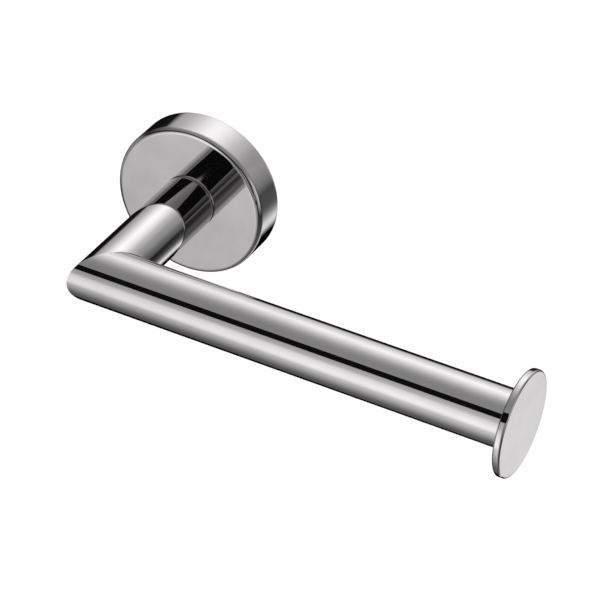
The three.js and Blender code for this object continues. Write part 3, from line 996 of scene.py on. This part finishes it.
def set_camera(studio):
    """The camera, from its place, turn, tilt and roll."""
    turn, tilt, roll = studio.turn, studio.tilt, studio.roll
    back = np.array([math.sin(turn) * math.cos(tilt), -math.cos(turn) * math.cos(tilt), math.sin(tilt)])
    level = np.array([math.cos(turn), math.sin(turn), 0.0])
    upright = np.cross(back, level)
    right = math.cos(roll) * level + math.sin(roll) * upright
    up = math.cos(roll) * upright - math.sin(roll) * level
    data = bpy.data.cameras.new("camera")
    data.sensor_width = 36.0
    data.lens = studio.lens
    data.clip_start, data.clip_end = 0.01, 50.0
    camera = bpy.data.objects.new("camera", data)
    bpy.context.scene.collection.objects.link(camera)
    matrix = Matrix.Identity(4)
    for column, axis in enumerate((right, up, back, np.array(studio.place))):
        for row in range(3):
            matrix[row][column] = axis[row]
    camera.matrix_world = matrix
    bpy.context.scene.camera = camera


# ---- operators -------------------------------------------------------------------------------------


class HOLDER_OT_flange(bpy.types.Operator):
    """Builds the polished flange cover"""

    bl_idname = "holder.flange"
    bl_label = "Flange cover"

    def execute(self, context):
        steel = mirror_finish("flange_steel", (260.0, 2600.0, 260.0))
        mesh = cover_mesh(context.scene.holder_shape)
        add_piece("flange_cup", mesh, steel, "holder", ["flange_cover"])
        return {"FINISHED"}


class HOLDER_OT_tubes(bpy.types.Operator):
    """Builds the post and the arm, which meet in the mitre, and the weld inside the corner"""

    bl_idname = "holder.tubes"
    bl_label = "Post, arm and weld"

    def execute(self, context):
        shape = context.scene.holder_shape
        post = tube_mesh(shape, ARM_AXIS[1], COVER_FACE, round_post)
        steel = mirror_finish("post_steel", (220.0, 2400.0, 220.0), 0.6)
        add_piece("post", post, steel, "holder", ["post_tube"])
        arm = tube_mesh(shape, 0.0, DISC_LOW[0], round_arm)
        steel = mirror_finish("arm_steel", (2400.0, 220.0, 220.0), 0.6)
        add_piece("arm", arm, steel, "holder", ["arm_tube"])
        weld = material_named("weld_steel", weld_steel)
        add_piece("corner_weld", weld_mesh(shape), weld, "holder")
        return {"FINISHED"}


class HOLDER_OT_stop_disc(bpy.types.Operator):
    """Builds the stop disc on the arm's free end"""

    bl_idname = "holder.stop_disc"
    bl_label = "Stop disc"

    def execute(self, context):
        steel = mirror_finish("disc_steel", (2600.0, 260.0, 260.0))
        mesh = disc_mesh(context.scene.holder_shape)
        add_piece("end_disc", mesh, steel, "holder", ["stop_disc"])
        return {"FINISHED"}


class HOLDER_OT_castings(bpy.types.Operator):
    """Builds the wall base and the hub that slides over it"""

    bl_idname = "holder.castings"
    bl_label = "Castings"

    def execute(self, context):
        shape = context.scene.holder_shape
        zinc = material_named("cast_zinc", cast_zinc)
        add_piece("hub_casting", hub_mesh(shape), zinc, "holder", ["flange_hub"])
        add_piece("base_casting", base_mesh(shape), zinc, "wall_side", ["wall_base"])
        return {"FINISHED"}


class HOLDER_OT_fasteners(bpy.types.Operator):
    """Builds the screws, washers, pin, stud and plugs inside the holder"""

    bl_idname = "holder.fasteners"
    bl_label = "Fasteners"

    def execute(self, context):
        plated = material_named("plated_steel", plated_steel)
        pieces = {
            "post_screw": post_screw_mesh(),
            "post_washer": washer_mesh("post_washer", 0.15 * MM),
            "post_lock_washer": lock_washer_mesh(),
            "locating_pin": pin_mesh(),
            "disc_stud": disc_stud_mesh(),
            "arm_plug": arm_plug_mesh(),
        }
        for node, mesh in pieces.items():
            add_piece("turned_" + node, mesh, plated, "holder", [node])
        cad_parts["post_plug"].data.materials.clear()
        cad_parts["post_plug"].data.materials.append(plated)
        return {"FINISHED"}


class HOLDER_OT_set_screw(bpy.types.Operator):
    """Builds the set screw that clamps the holder on its base from below"""

    bl_idname = "holder.set_screw"
    bl_label = "Set screw"

    def execute(self, context):
        black = material_named("black_steel", black_steel)
        add_piece("grub_screw", set_screw_mesh(), black, "set_screw", ["set_screw"])
        return {"FINISHED"}


class HOLDER_OT_stage(bpy.types.Operator):
    """Sets up the soft studio light, the pale floor, the black flag and the camera"""

    bl_idname = "holder.stage"
    bl_label = "Studio"

    def execute(self, context):
        light_room()
        lay_floor(context.scene.holder_studio)
        hang_black_flag(context.scene.holder_studio)
        set_camera(context.scene.holder_studio)
        context.scene.view_settings.view_transform = "Standard"
        return {"FINISHED"}


class HOLDER_PT_panel(bpy.types.Panel):
    """Lists the holder's sizes, finishes and builders"""

    bl_idname = "HOLDER_PT_panel"
    bl_label = "Toilet paper holder"
    bl_space_type = "VIEW_3D"
    bl_region_type = "UI"
    bl_category = "Holder"

    def draw(self, context):
        for group_name in GROUPS:
            group = getattr(context.scene, group_name)
            box = self.layout.box()
            for name in group.__annotations__:
                box.prop(group, name)
        for operator in OPERATORS:
            self.layout.operator(operator.bl_idname)


GROUPS = {"holder_shape": HolderShape, "holder_finish": HolderFinish, "holder_studio": HolderStudio}
OPERATORS = (
    HOLDER_OT_flange,
    HOLDER_OT_tubes,
    HOLDER_OT_stop_disc,
    HOLDER_OT_castings,
    HOLDER_OT_fasteners,
    HOLDER_OT_set_screw,
    HOLDER_OT_stage,
)


def register():
    """Registers the classes and hangs the property groups on the scene."""
    for cls in (*GROUPS.values(), *OPERATORS, HOLDER_PT_panel):
        bpy.utils.register_class(cls)
    for name, cls in GROUPS.items():
        setattr(bpy.types.Scene, name, PointerProperty(type=cls))


def unregister():
    """Takes the groups off the scene and unregisters the classes."""
    for name in GROUPS:
        delattr(bpy.types.Scene, name)
    for cls in (HOLDER_PT_panel, *reversed(OPERATORS), *reversed(tuple(GROUPS.values()))):
        bpy.utils.unregister_class(cls)


def main():
    """Registers everything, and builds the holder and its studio."""
    register()
    bpy.ops.holder.flange()
    bpy.ops.holder.tubes()
    bpy.ops.holder.stop_disc()
    bpy.ops.holder.castings()
    bpy.ops.holder.fasteners()
    bpy.ops.holder.set_screw()
    bpy.ops.holder.stage()


if __name__ == "__main__":
    main()
